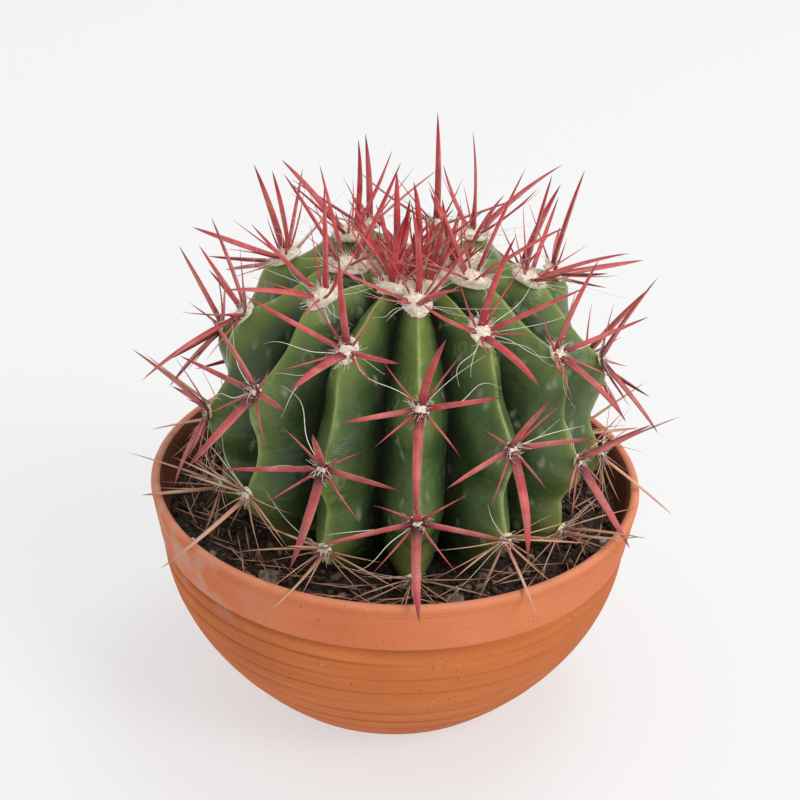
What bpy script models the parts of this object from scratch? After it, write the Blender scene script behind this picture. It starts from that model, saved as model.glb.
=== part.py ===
"""Round barrel cactus with red spines, growing in a shallow thrown terracotta bowl.

Metres, +Z up. The origin is the centre of the bowl's foot, on the table.
"""

import math
import random

import bmesh
import bpy
from mathutils import Matrix, Vector
from mathutils.bvhtree import BVHTree

GAP = 0.0003  # left between two pieces that touch

# Bowl
RIM_RADIUS = 0.1248
BOWL_HEIGHT = 0.119
COLLAR_HEIGHT = 0.027
COLLAR_FLARE = 0.0042  # how far the collar leans out from its lower edge to the lip
COLLAR_STEP = 0.0012
FOOT_RADIUS = 0.0660
FOOT_HEIGHT = 0.005
FOOT_NOTCH = 0.0015
LIP_THICKNESS = 0.0050
WALL = 0.0060
FLOOR_THICKNESS = 0.009
DRAIN_HOLES = 3
DRAIN_HOLE_RADIUS = 0.006
DRAIN_CIRCLE_RADIUS = 0.036

# Soil
SOIL_DEPTH_BELOW_RIM = 0.0175

# Stem
RIBS = 13
STEM_RADIUS = 0.096
STEM_HEIGHT = 0.138  # shoulder of the ribs above the soil
WAIST_HEIGHT = 0.056  # widest place above the soil
STEM_BURIED = 0.024
STEM_SQUARENESS = 2.5
STEM_OFFSET_X = 0.004
RIB_DEPTH = 0.020
RIB_SHARPNESS = 1.7
CROWN_DIP = 0.013
CROWN_DIP_RADIUS = 0.025
CHIN_HEIGHT = 0.0035
CHIN_LENGTH = 0.015
FIRST_RIB_DEGREES = 4.0
FRONT_CROWDING_DEGREES = 3.2  # the ribs stand a little closer together at the front

# Areoles, measured down a rib's crest from the growing point
AREOLE_SPACING = 0.054
FIRST_AREOLE = 0.046
AREOLE_TURN = 0.41  # share of the spacing by which each next rib starts lower
CROWN_ZONE = 0.033  # above this the areoles are one woolly mass
OLD_ZONE = 0.160  # below this the areoles crowd together
OLD_CROWDING = 0.65
LOWEST_AREOLE = 0.010  # above the soil

# Felt cushions and spines
CUSHION_RADIUS = 0.0052
CUSHION_HEIGHT = 0.0032
SPINE_WIDTH = 0.0024
YOUNG_SPINE = 0.066
OLD_SPINE = 0.040
SPINE_SETTLES = 0.110  # distance down the crest at which spines have their old length
RADIAL_SHARE = 0.62  # a radial spine's length beside a central one's
SPINE_CLEARANCE = 0.0006
SPINE_FAN_DEGREES = 15.0  # least angle between two spines of one areole
SPINE_FOOT_INSET = 0.18  # felt left round a spine's foot, beside the width of the face it grows from
ESCAPE_RISE = 0.7  # how steeply up a blocked spine swings, beside straight out
SWING_DEGREES = 5.0  # each step of a blocked spine's swing
SHORTENING = 0.8  # each step of its length, once it has swung all the way
SHORTEST = 0.3  # share of its length below which it also tries other bearings
TURN_DEGREES = 50.0  # each step of that bearing
TIP_DEGREES = 20.0  # and how far it tips over at each

# Crown
CROWN_RADIUS = 0.019
CROWN_HEIGHT = 0.006
CROWN_SPINE = 0.060
CROWN_FAN_DEGREES = 46  # how far the outermost young spines lean out

# Loose pieces on the soil: length, width, height
BARK_CHIP = (0.018, 0.011, 0.006)
PERLITE_GRAIN = (0.0052, 0.0048, 0.0044)
BARK_CHIP_RIBS = (0.5, -1.5, 5.5)  # the valley, counted in ribs from the front, that each lies before
PERLITE_RIBS = (2.5, -2.5, 1.5, -5.5)
LUMP_FROM_WALL = 0.75  # middle of a piece to the bowl's wall, beside the piece's length
LUMP_ROOM = 0.62  # radius that spines keep clear round a piece, beside the piece's length

SOIL_TOP = BOWL_HEIGHT - SOIL_DEPTH_BELOW_RIM
COLLAR_EDGE = BOWL_HEIGHT - COLLAR_HEIGHT
SHOULDER_RADIUS = RIM_RADIUS - COLLAR_FLARE - COLLAR_STEP


# ---- shared small tools ----


def clear_scene():
    for thing in list(bpy.data.objects):
        bpy.data.objects.remove(thing)


def new_collection(name):
    collection = bpy.data.collections.new(name)
    bpy.context.scene.collection.children.link(collection)
    return collection


def painted(name, colour, roughness):
    material = bpy.data.materials.new(name)
    material.use_nodes = True
    shader = material.node_tree.nodes["Principled BSDF"]
    shader.inputs["Base Color"].default_value = (*colour, 1.0)
    shader.inputs["Roughness"].default_value = roughness
    shader.inputs["Metallic"].default_value = 0.0
    return material


def add_object(name, bm, collection, material=None):
    mesh = bpy.data.meshes.new(name)
    bm.to_mesh(mesh)
    bm.free()
    piece = bpy.data.objects.new(name, mesh)
    collection.objects.link(piece)
    if material:
        mesh.materials.append(material)
    return piece


def turned(name, profile, steps, collection, material):
    """A profile of (radius, height) points from the axis, over the top and down to the axis, spun round Z."""
    bm = bmesh.new()
    points = [bm.verts.new((radius, 0.0, height)) for radius, height in profile]
    for first, second in zip(points, points[1:]):
        bm.edges.new((first, second))
    piece = add_object(name, bm, collection, material)
    screw = piece.modifiers.new("Turned", "SCREW")
    screw.steps = steps
    screw.render_steps = steps
    screw.use_merge_vertices = True
    screw.merge_threshold = 0.00001
    return piece


def cut(piece, cutter):
    cutter.hide_render = True
    cutter.display_type = "WIRE"
    boolean = piece.modifiers.new("Cut " + cutter.name, "BOOLEAN")
    boolean.operation = "DIFFERENCE"
    boolean.object = cutter


def surface_tree(piece):
    """A search tree over the finished surface of a piece."""
    bpy.context.view_layer.update()
    return BVHTree.FromObject(piece, bpy.context.evaluated_depsgraph_get())


# ---- bowl and soil ----


def outer_radius(height):
    """The belly of the bowl: a parabola from the foot up to the collar's lower edge."""
    left = 1.0 - height / COLLAR_EDGE
    return SHOULDER_RADIUS - (SHOULDER_RADIUS - FOOT_RADIUS) * left**2


def inner_radius(height):
    """The inside of the bowl: a parabola up to the collar, then straight out to the lip."""
    shoulder = SHOULDER_RADIUS - WALL
    if height >= COLLAR_EDGE:
        rise = (height - COLLAR_EDGE) / COLLAR_HEIGHT
        return shoulder + (RIM_RADIUS - LIP_THICKNESS - shoulder) * rise
    bottom = outer_radius(FLOOR_THICKNESS) - 2 * WALL
    left = 1.0 - (height - FLOOR_THICKNESS) / (COLLAR_EDGE - FLOOR_THICKNESS)
    return shoulder - (shoulder - bottom) * left**2


def make_bowl(parts, cutters):
    steps_up = 7
    profile = [(0.0, FLOOR_THICKNESS)]
    for step in range(steps_up + 1):
        height = FLOOR_THICKNESS + (COLLAR_EDGE - FLOOR_THICKNESS) * step / steps_up
        profile.append((inner_radius(height), height))
    lip = LIP_THICKNESS / 2
    for degrees in (180, 140, 90, 40, 0):
        angle = math.radians(degrees)
        radius = RIM_RADIUS - lip + lip * math.cos(angle)
        profile.append((radius, BOWL_HEIGHT - lip + lip * math.sin(angle)))
    profile.append((SHOULDER_RADIUS + COLLAR_STEP, COLLAR_EDGE + COLLAR_STEP))
    profile.append((SHOULDER_RADIUS, COLLAR_EDGE - COLLAR_STEP))
    for step in range(1, steps_up):
        height = COLLAR_EDGE + (FOOT_HEIGHT - COLLAR_EDGE) * step / steps_up
        profile.append((outer_radius(height), height))
    profile.append((outer_radius(FOOT_HEIGHT) - FOOT_NOTCH, FOOT_HEIGHT))
    profile.append((FOOT_RADIUS, FOOT_HEIGHT / 2))
    profile.append((FOOT_RADIUS - FOOT_NOTCH / 2, 0.0))
    profile.append((0.0, 0.0))
    clay = painted("terracotta", (0.56, 0.21, 0.10), 0.85)
    bowl = turned("terracotta_bowl", profile, 60, parts, clay)

    holes = bmesh.new()
    for hole in range(DRAIN_HOLES):
        angle = math.tau * (hole + 0.5) / DRAIN_HOLES
        place = (DRAIN_CIRCLE_RADIUS * math.cos(angle), DRAIN_CIRCLE_RADIUS * math.sin(angle), 0.0)
        bmesh.ops.create_cone(
            holes,
            cap_ends=True,
            segments=16,
            radius1=DRAIN_HOLE_RADIUS,
            radius2=DRAIN_HOLE_RADIUS,
            depth=4 * FLOOR_THICKNESS,
            matrix=Matrix.Translation(place),
        )
    cut(bowl, add_object("drain_hole_cutter", holes, cutters))
    return bowl


def make_soil(parts, stem, cutters):
    """The root ball fills the bowl and has a socket that fits round the buried base of the stem."""
    steps_up = 7
    floor = FLOOR_THICKNESS + GAP
    profile = [(0.0, SOIL_TOP)]
    for step in range(steps_up + 1):
        height = SOIL_TOP + (floor - SOIL_TOP) * step / steps_up
        profile.append((inner_radius(height) - 3 * GAP, height))
    profile.append((0.0, floor))
    earth = painted("potting_soil", (0.055, 0.032, 0.020), 0.95)
    soil = turned("potting_soil", profile, 60, parts, earth)

    socket = bpy.data.objects.new("stem_socket_cutter", stem.data.copy())
    cutters.objects.link(socket)
    swell = socket.modifiers.new("Swell", "DISPLACE")
    swell.strength = 2 * GAP
    swell.mid_level = 0.0
    cut(soil, socket)
    return soil


# ---- stem ----


def rib_angle(rib):
    """Direction of a rib's crest round the stem, in radians from the front (-Y) towards +X."""
    turn = math.tau * rib / RIBS
    crowding = math.radians(FRONT_CROWDING_DEGREES) * math.sin(turn)
    return math.radians(FIRST_RIB_DEGREES) + turn - crowding


def crest_point(polar):
    """(radius, height) on a rib's crest, from the growing point (polar 0) to the buried base (polar pi)."""
    power = 2.0 / STEM_SQUARENESS
    waist = SOIL_TOP + WAIST_HEIGHT
    above = SOIL_TOP + STEM_HEIGHT - waist
    below = WAIST_HEIGHT + STEM_BURIED
    radius = STEM_RADIUS * abs(math.sin(polar)) ** power
    side = math.cos(polar)
    height = waist + (above if side > 0 else below) * math.copysign(abs(side) ** power, side)
    if side > 0:
        height -= CROWN_DIP * math.exp(-((radius / CROWN_DIP_RADIUS) ** 2))
    return radius, height


def crest_table(count=720):
    """(distance down the crest, polar angle) pairs, for looking up one from the other."""
    table = [(0.0, 0.0)]
    last = Vector(crest_point(0.0))
    for step in range(1, count + 1):
        polar = math.pi * step / count
        here = Vector(crest_point(polar))
        table.append((table[-1][0] + (here - last).length, polar))
        last = here
    return table


CREST = crest_table()


def looked_up(value, given, wanted):
    for first, second in zip(CREST, CREST[1:]):
        if second[given] >= value:
            share = (value - first[given]) / (second[given] - first[given])
            return first[wanted] + (second[wanted] - first[wanted]) * share
    return CREST[-1][wanted]


def distance_at(polar):
    return looked_up(polar, 1, 0)


def polar_at(distance):
    return looked_up(distance, 0, 1)


def areole_distances(rib):
    """How far down a rib's crest its areoles are, from the crown zone to just above the soil."""
    distance = (FIRST_AREOLE + AREOLE_TURN * AREOLE_SPACING * rib) % AREOLE_SPACING
    found = []
    while True:
        crowded = min(distance, OLD_ZONE + (distance - OLD_ZONE) * OLD_CROWDING)
        height = crest_point(polar_at(crowded))[1]
        if height < SOIL_TOP + LOWEST_AREOLE:
            return found
        if crowded > CROWN_ZONE:
            found.append(crowded)
        distance += AREOLE_SPACING


def rib_numbers():
    half = RIBS // 2
    return range(-half, RIBS - half)


def chin(distance, areoles):
    """How far a crest swells out, most just below an areole."""
    swell = 0.0
    for areole in areoles:
        away = (distance - areole - CHIN_LENGTH / 3) / CHIN_LENGTH
        swell = max(swell, math.exp(-(away**2)))
    return CHIN_HEIGHT * (swell - 0.5)


def crest_normal(polar):
    """Unit (radial, up) direction out of the crest, square to it."""
    before = Vector(crest_point(max(polar - 0.01, 0.0)))
    after = Vector(crest_point(min(polar + 0.01, math.pi)))
    along = (after - before).normalized()
    return Vector((-along.y, along.x))


def on_stem(turn, distance, out):
    """The point at a rib number and a distance down the crest, moved out along the crest's normal."""
    polar = polar_at(distance)
    radius, height = Vector(crest_point(polar)) + crest_normal(polar) * out
    side = rib_angle(turn)
    return Vector((STEM_OFFSET_X + radius * math.sin(side), -radius * math.cos(side), height))


def make_stem(parts):
    """One ribbed body, shaped from a sphere whose meridians fall on the crests and the valleys."""
    across_rib = 6
    bm = bmesh.new()
    bmesh.ops.create_uvsphere(bm, u_segments=RIBS * across_rib, v_segments=24, radius=1.0)
    areoles = {rib: areole_distances(rib) for rib in rib_numbers()}
    half = RIBS // 2
    for vertex in bm.verts:
        polar = math.acos(max(-1.0, min(1.0, vertex.co.z)))
        turn = math.atan2(vertex.co.y, vertex.co.x) / math.tau * RIBS
        aside = 2.0 * abs(turn - round(turn))
        rib = (round(turn) + half) % RIBS - half
        thickness = crest_point(polar)[0] / STEM_RADIUS
        distance = distance_at(polar)
        out = chin(distance, areoles[rib]) * (1.0 - aside) ** 2
        out -= RIB_DEPTH * aside**RIB_SHARPNESS
        vertex.co = on_stem(turn, distance, out * thickness**0.8)
    bmesh.ops.recalc_face_normals(bm, faces=bm.faces)
    return add_object("cactus_stem", bm, parts, painted("cactus_skin", (0.09, 0.19, 0.05), 0.5))


# ---- spines ----


class Spine:
    """A straight tapered spike from a root to a tip."""

    def __init__(self, root, direction, length, width):
        self.root = root
        self.direction = direction
        self.length = length
        self.width = width

    def point(self, share):
        return self.root + self.direction * self.length * share

    def radius(self, share):
        return self.width * (1.0 - share)


def nearest_shares(one, other):
    """Where two spines come closest, as the share of each one's length."""
    across = one.root - other.root
    turn = one.direction.dot(other.direction)
    first = one.direction.dot(across)
    second = other.direction.dot(across)
    flatness = max(1.0 - turn * turn, 1e-9)
    share = min(max((turn * second - first) / flatness / one.length, 0.0), 1.0)
    other_share = min(max((second + turn * share * one.length) / other.length, 0.0), 1.0)
    share = min(max((turn * other_share * other.length - first) / one.length, 0.0), 1.0)
    return share, other_share


def spines_touch(one, other):
    if (one.root - other.root).length > one.length + other.length:
        return False
    share, other_share = nearest_shares(one, other)
    room = (one.point(share) - other.point(other_share)).length
    return room < one.radius(share) + other.radius(other_share) + SPINE_CLEARANCE


def in_bowl_or_soil(point, margin):
    if point.z < SOIL_TOP + margin and point.xy.length < RIM_RADIUS:
        return True
    if point.z > BOWL_HEIGHT + margin:
        return False
    inside = inner_radius(max(point.z, SOIL_TOP)) - margin
    return inside < point.xy.length < RIM_RADIUS + margin


def in_stem(point, margin, stem_tree):
    place, normal, _, away = stem_tree.find_nearest(point)
    return away < margin or (point - place).dot(normal) < 0.0


def spine_is_clear(spine, siblings, grown, knobs, stem_tree):
    """Whether a spine misses the stem, the soil, the bowl, every other spine and every knob."""
    fan = math.radians(SPINE_FAN_DEGREES)
    if any(spine.direction.angle(sibling.direction) < fan for sibling in siblings):
        return False
    for step in range(3, 13):
        share = step / 12
        margin = spine.radius(share) + SPINE_CLEARANCE
        point = spine.point(share)
        if in_bowl_or_soil(point, margin) or in_stem(point, margin, stem_tree):
            return False
    for centre, size in knobs:
        reach = min(max((centre - spine.root).dot(spine.direction), 0.0), spine.length)
        if (spine.root + spine.direction * reach - centre).length < size + SPINE_CLEARANCE:
            return False
    return not any(spines_touch(spine, other) for other in grown)


def grow_clear(spine, escape, siblings, grown, knobs, stem_tree):
    """Swings a spine towards its way of escape, shortens it and at last turns it, until it is clear."""
    wanted, full = spine.direction, spine.length
    while not spine_is_clear(spine, siblings, grown, knobs, stem_tree):
        if spine.direction.angle(escape) > math.radians(1.6 * SWING_DEGREES):
            axis = spine.direction.cross(escape).normalized()
            swing = Matrix.Rotation(math.radians(SWING_DEGREES), 3, axis)
            spine.direction = swing @ spine.direction
        else:
            if spine.length < SHORTEST * full:
                turn = Matrix.Rotation(math.radians(TURN_DEGREES), 3, escape)
                tip = Matrix.Rotation(math.radians(TIP_DEGREES), 3, escape.orthogonal())
                wanted = turn @ tip @ wanted
            spine.direction = wanted
            spine.length *= SHORTENING
    return spine


def add_spike(bm, face, spine):
    """Draws one face of a felt cushion out into a spine."""
    face.normal_update()
    inset = SPINE_FOOT_INSET * math.sqrt(face.calc_area())
    bmesh.ops.inset_individual(bm, faces=[face], thickness=inset)
    grown = bmesh.ops.extrude_discrete_faces(bm, faces=[face])["faces"][0]
    bmesh.ops.pointmerge(bm, verts=grown.verts[:], merge_co=spine.point(1.0))


def felt_faces(bm, lowest):
    """The upper faces of a cushion, each of which can carry one spine, ring by ring from the lowest."""
    bm.normal_update()
    faces = [face for face in bm.faces if len(face.verts) == 4 and face.normal.z > lowest]

    def ring_and_bearing(face):
        middle = face.calc_center_median()
        ahead = 0.1  # so that no face lies where the bearing starts again from zero
        return round(middle.z, 5), (math.atan2(middle.y, middle.x) + ahead) % math.tau

    return sorted(faces, key=ring_and_bearing)


def nearest_face(faces, direction):
    return max(faces, key=lambda face: face.calc_center_median().normalized().dot(direction))


def seat_shift(points, normal, stem_tree):
    """How far a piece moves out along a normal so that it just clears the stem."""
    shift = -1.0
    far = 0.05
    for point in points:
        place, _, _, _ = stem_tree.ray_cast(point + normal * far, -normal, 2 * far)
        if place:
            shift = max(shift, (place - point).dot(normal))
    return shift + GAP


def youth(distance):
    """1 at the edge of the crown, 0 where the spines have their old length."""
    return min(max((SPINE_SETTLES - distance) / (SPINE_SETTLES - CROWN_ZONE), 0.0), 1.0)


def areole_spines(distance, chance):
    """(bearing from straight down, lift out of the skin, length) of each spine, in degrees and metres."""
    young = youth(distance)
    length = OLD_SPINE + (YOUNG_SPINE - OLD_SPINE) * young
    central = [(0, 30, 1.12), (90, 20, 1.0), (-90, 20, 1.0), (180, 42, 1.08)]
    radial = [(bearing, 16, RADIAL_SHARE) for bearing in (45, -45, 135, -135)]
    for bearing, lift, share in central + radial:
        bearing += chance.uniform(-9, 9)
        lift += chance.uniform(-4, 6) + 28 * young
        yield bearing, lift, length * share * chance.uniform(0.88, 1.08)


def areole_frame(rib, distance):
    """Axes of an areole: down the rib, along the bowl's rim, out of the skin."""
    swell = chin(distance, areole_distances(rib))
    thickness = crest_point(polar_at(distance))[0] / STEM_RADIUS
    centre = on_stem(rib, distance, swell * thickness**0.8)
    down = (on_stem(rib, distance + 0.001, 0.0) - on_stem(rib, distance - 0.001, 0.0)).normalized()
    out = (on_stem(rib, distance, 0.001) - on_stem(rib, distance, 0.0)).normalized()
    return centre, down, out.cross(down), out


def make_cluster(name, frame, distance, chance, grown, knobs, stem_tree, parts, material):
    """One areole: a felt cushion with its spines drawn out of it, as one body."""
    centre, down, side, out = frame
    bm = bmesh.new()
    bmesh.ops.create_uvsphere(bm, u_segments=8, v_segments=8, radius=1.0)
    half_face = Matrix.Rotation(math.radians(22.5), 4, "Z")
    flat = Matrix.Diagonal((CUSHION_RADIUS, CUSHION_RADIUS, CUSHION_HEIGHT, 1.0))
    bm.transform(flat @ half_face)
    for vertex in bm.verts:
        vertex.co.z = max(vertex.co.z, 0.0)

    turned_in = Matrix((down, side, out)).transposed()
    base = [turned_in @ vertex.co + centre for vertex in bm.verts if vertex.co.z < 1e-6]
    middle = centre + out * seat_shift(base, out, stem_tree)
    escape = (out + Vector((0.0, 0.0, ESCAPE_RISE))).normalized()
    new_spines = []
    for bearing, lift, length in areole_spines(distance, chance):
        around = down * math.cos(math.radians(bearing)) + side * math.sin(math.radians(bearing))
        direction = around * math.cos(math.radians(lift)) + out * math.sin(math.radians(lift))
        spine = Spine(middle + direction * CUSHION_HEIGHT, direction, length, SPINE_WIDTH)
        new_spines.append(grow_clear(spine, escape, new_spines, grown, knobs, stem_tree))

    faces = felt_faces(bm, lowest=0.2)
    chosen = []
    for spine in new_spines:
        chosen.append(nearest_face(faces, turned_in.transposed() @ spine.direction))
        faces.remove(chosen[-1])
    bm.transform(Matrix.Translation(middle) @ turned_in.to_4x4())
    for face, spine in zip(chosen, new_spines):
        add_spike(bm, face, spine)
    grown.extend(new_spines)
    return add_object(name, bm, parts, material)


def make_crown(chance, grown, knobs, stem_tree, parts, material):
    """The woolly growing point, sunk between the ribs, with a fan of young spines, as one body."""
    bm = bmesh.new()
    bmesh.ops.create_uvsphere(bm, u_segments=14, v_segments=8, radius=1.0)
    bm.transform(Matrix.Diagonal((CROWN_RADIUS, CROWN_RADIUS, CROWN_HEIGHT, 1.0)))
    low, up = Vector((STEM_OFFSET_X, 0.0, SOIL_TOP + STEM_HEIGHT - CROWN_DIP)), Vector((0, 0, 1))
    base = [vertex.co + low for vertex in bm.verts if vertex.co.z < 1e-6]
    middle = low + up * seat_shift(base, up, stem_tree)
    faces = felt_faces(bm, lowest=0.6)
    bm.transform(Matrix.Translation(middle))
    new_spines = []
    for face in faces[::2]:
        away = face.calc_center_median() - middle
        lean = math.radians(CROWN_FAN_DEGREES) * away.xy.length / CROWN_RADIUS
        outward = Vector((away.x, away.y, 0.0)).normalized()
        direction = outward * math.sin(lean) + up * math.cos(lean)
        length = CROWN_SPINE * chance.uniform(0.75, 1.05)
        spine = Spine(face.calc_center_median(), direction, length, SPINE_WIDTH)
        new_spines.append((face, grow_clear(spine, up, [], grown, knobs, stem_tree)))
    for face, spine in new_spines:
        add_spike(bm, face, spine)
        grown.append(spine)
    return add_object("crown", bm, parts, material)


# ---- loose pieces ----


def make_lump(name, size, rib, edge, chance, parts, material):
    """A bark chip or a perlite grain: a broken lump on the soil, in line with a valley of the stem."""
    bm = bmesh.new()
    bmesh.ops.create_icosphere(bm, subdivisions=1, radius=0.5)
    for vertex in bm.verts:
        vertex.co *= chance.uniform(0.82, 1.12)
    angle = rib_angle(rib)
    radius = edge - LUMP_FROM_WALL * size[0]
    place = Vector((radius * math.sin(angle), -radius * math.cos(angle), SOIL_TOP + GAP))
    twist = Matrix.Rotation(chance.uniform(0.0, math.tau), 4, "Z")
    bm.transform(twist @ Matrix.Diagonal((*size, 1.0)))
    for vertex in bm.verts:
        vertex.co.z = max(vertex.co.z + 0.4 * size[2], 0.0)
    bm.transform(Matrix.Translation(place))
    add_object(name, bm, parts, material)
    return place, LUMP_ROOM * max(size)


def main():
    clear_scene()
    parts = new_collection("potted_round_cactus")
    cutters = new_collection("cutters")
    chance = random.Random(13)

    make_bowl(parts, cutters)
    stem = make_stem(parts)
    make_soil(parts, stem, cutters)
    stem_tree = surface_tree(stem)

    bark = painted("bark", (0.16, 0.08, 0.045), 0.9)
    perlite = painted("perlite", (0.80, 0.78, 0.73), 0.9)
    edge = inner_radius(SOIL_TOP)
    knobs = []
    for number, rib in enumerate(BARK_CHIP_RIBS):
        name = f"bark_chip_{number + 1}"
        knobs.append(make_lump(name, BARK_CHIP, rib, edge, chance, parts, bark))
    for number, rib in enumerate(PERLITE_RIBS):
        name = f"perlite_grain_{number + 1}"
        knobs.append(make_lump(name, PERLITE_GRAIN, rib, edge, chance, parts, perlite))

    places = [(rib, distance) for rib in rib_numbers() for distance in areole_distances(rib)]
    places.sort(key=lambda place: place[1])
    frames = {place: areole_frame(*place) for place in places}
    knobs += [(frame[0], CUSHION_RADIUS) for frame in frames.values()]

    young = painted("young_spines", (0.55, 0.07, 0.07), 0.45)
    old = painted("old_spines", (0.60, 0.42, 0.28), 0.6)
    grown = []
    make_crown(chance, grown, knobs, stem_tree, parts, young)
    numbers = {}
    for place in places:
        rib, distance = place
        numbers[rib] = numbers.get(rib, 0) + 1
        name = f"areole_rib{rib % RIBS + 1:02d}_{numbers[rib]}"
        material = old if distance > OLD_ZONE else young
        own = frames[place][0]
        others = [knob for knob in knobs if (knob[0] - own).length > GAP]
        make_cluster(
            name, frames[place], distance, chance, grown, others, stem_tree, parts, material
        )


main()
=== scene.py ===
"""Round barrel cactus with red spines, growing in a shallow thrown terracotta bowl."""

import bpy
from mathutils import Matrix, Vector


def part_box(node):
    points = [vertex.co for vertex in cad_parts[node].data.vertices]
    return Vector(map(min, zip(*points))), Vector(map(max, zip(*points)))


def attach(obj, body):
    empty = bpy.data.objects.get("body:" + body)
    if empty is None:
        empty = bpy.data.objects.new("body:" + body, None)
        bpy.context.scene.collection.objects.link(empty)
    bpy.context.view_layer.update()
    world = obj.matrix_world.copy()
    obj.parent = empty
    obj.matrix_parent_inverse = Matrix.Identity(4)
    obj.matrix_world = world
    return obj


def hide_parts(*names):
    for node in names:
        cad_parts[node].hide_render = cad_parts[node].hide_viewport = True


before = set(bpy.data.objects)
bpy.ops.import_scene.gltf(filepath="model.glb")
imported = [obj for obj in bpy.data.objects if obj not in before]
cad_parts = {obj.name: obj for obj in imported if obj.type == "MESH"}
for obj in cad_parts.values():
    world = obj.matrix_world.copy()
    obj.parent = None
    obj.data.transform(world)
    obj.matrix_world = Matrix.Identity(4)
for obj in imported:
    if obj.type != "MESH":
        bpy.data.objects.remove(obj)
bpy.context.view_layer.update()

import bisect
import math
import random

import bmesh
import bpy
from mathutils import Matrix, Vector, noise
from mathutils.bvhtree import BVHTree

# ---- studio ----
# The plant stands on a matt table top that is lit through from below, in an even white room. A
# broad soft lamp shines from the front right and a weaker one from overhead. The camera looks down.

FLOOR_SPAN = 9.0
CAMERA_DISTANCE = 1.027  # from the middle of the lip
CAMERA_ABOVE = math.radians(30.6)  # where it stands, seen from the middle of the lip
CAMERA_PITCH = math.radians(28.6)  # how far down it looks
CAMERA_ROLL = math.radians(2.1)
CAMERA_SHIFT_X = 0.00087
LAMP_TARGET = Vector((0.0, 0.0, 0.1))

table = bmesh.new()
bmesh.ops.create_grid(table, x_segments=6, y_segments=6, size=FLOOR_SPAN / 2)
table_mesh = bpy.data.meshes.new("table_top")
table.to_mesh(table_mesh)
table.free()
table_top = bpy.data.objects.new("table_top", table_mesh)
bpy.context.collection.objects.link(table_top)
table_paint = bpy.data.materials.new("table_paint")
table_paint.use_nodes = True
table_shader = table_paint.node_tree.nodes["Principled BSDF"]
table_shader.inputs["Base Color"].default_value = (0.28, 0.28, 0.28, 1.0)
table_shader.inputs["Roughness"].default_value = 0.7
table_shader.inputs["Emission Color"].default_value = (0.99, 0.985, 1.0, 1.0)
table_shader.inputs["Emission Strength"].default_value = 0.585
table_mesh.materials.append(table_paint)

world = bpy.data.worlds.new("white_room")
world.use_nodes = True
world.node_tree.nodes["Background"].inputs["Color"].default_value = (0.985, 0.99, 1.0, 1.0)
world.node_tree.nodes["Background"].inputs["Strength"].default_value = 0.70
bpy.context.scene.world = world


def hang_lamp(name, place, size, power, colour):
    lamp_data = bpy.data.lights.new(name, "AREA")
    lamp_data.shape = "SQUARE"
    lamp_data.size = size
    lamp_data.energy = power
    lamp_data.color = colour
    lamp = bpy.data.objects.new(name, lamp_data)
    lamp.location = place
    lamp.rotation_euler = (LAMP_TARGET - Vector(place)).to_track_quat("-Z", "Y").to_euler()
    bpy.context.collection.objects.link(lamp)


hang_lamp("key_lamp", place=(2.3, -1.8, 2.6), size=1.5, power=66.0, colour=(1.0, 0.975, 0.94))
hang_lamp("top_lamp", place=(0.9, 0.9, 3.2), size=1.6, power=30.0, colour=(1.0, 0.99, 0.98))

lip_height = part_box("terracotta_bowl")[1].z
level = Vector((0.0, -math.cos(CAMERA_ABOVE), math.sin(CAMERA_ABOVE)))
forward = Vector((0.0, math.cos(CAMERA_PITCH), -math.sin(CAMERA_PITCH)))
across = Vector((1.0, 0.0, 0.0))
upward = across.cross(forward)
right = across * math.cos(CAMERA_ROLL) + upward * math.sin(CAMERA_ROLL)
upward = right.cross(forward)
camera_data = bpy.data.cameras.new("camera")
camera_data.lens = 90.0
camera_data.sensor_width = 36.0
camera_data.clip_start = 0.05
camera = bpy.data.objects.new("camera", camera_data)
camera.matrix_world = Matrix((right, upward, -forward)).transposed().to_4x4()
camera.location = Vector((CAMERA_SHIFT_X, 0.0, lip_height)) + level * CAMERA_DISTANCE
bpy.context.collection.objects.link(camera)
bpy.context.scene.camera = camera
bpy.context.scene.view_settings.view_transform = "Standard"

# ---- bowl ----
# A shallow bowl thrown on the wheel in coarse red clay and fired without a glaze. The
# potter's fingers left grooves round the belly, and a collar stands proud below the lip.

RIM_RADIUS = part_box("terracotta_bowl")[1].x
BOWL_HEIGHT = lip_height
COLLAR_HEIGHT = 0.027
COLLAR_FLARE = 0.0042
COLLAR_STEP = 0.0012
FOOT_RADIUS = 0.0660
FOOT_HEIGHT = 0.005
FOOT_NOTCH = 0.0015
LIP_THICKNESS = 0.0050
WALL = 0.0060
FLOOR_THICKNESS = 0.009
DRAIN_HOLES = 3
DRAIN_HOLE_RADIUS = 0.006
DRAIN_CIRCLE_RADIUS = 0.036
BOWL_STEPS = 180
GROOVE_HEIGHTS = (0.0820, 0.0717, 0.0617, 0.0525, 0.0424, 0.0315, 0.0208)
GROOVE_DEPTH = 0.0006
GROOVE_WIDTH = 0.0006  # and 1.7 times as wide on the side below each groove
GROOVE_WANDER = 0.0007
UNDERCUT = 0.0006  # how deep the clay is drawn in below the collar
LIP_LINES = (0.1148, 0.1130)
LIP_LINE_DEPTH = 0.00022
LIP_LINE_WIDTH = 0.0005

COLLAR_EDGE = BOWL_HEIGHT - COLLAR_HEIGHT
SHOULDER_RADIUS = RIM_RADIUS - COLLAR_FLARE - COLLAR_STEP


def belly_radius(height):
    """The outside of the bowl, from the foot up to the collar."""
    return SHOULDER_RADIUS - (SHOULDER_RADIUS - FOOT_RADIUS) * (1.0 - height / COLLAR_EDGE) ** 2


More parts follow.
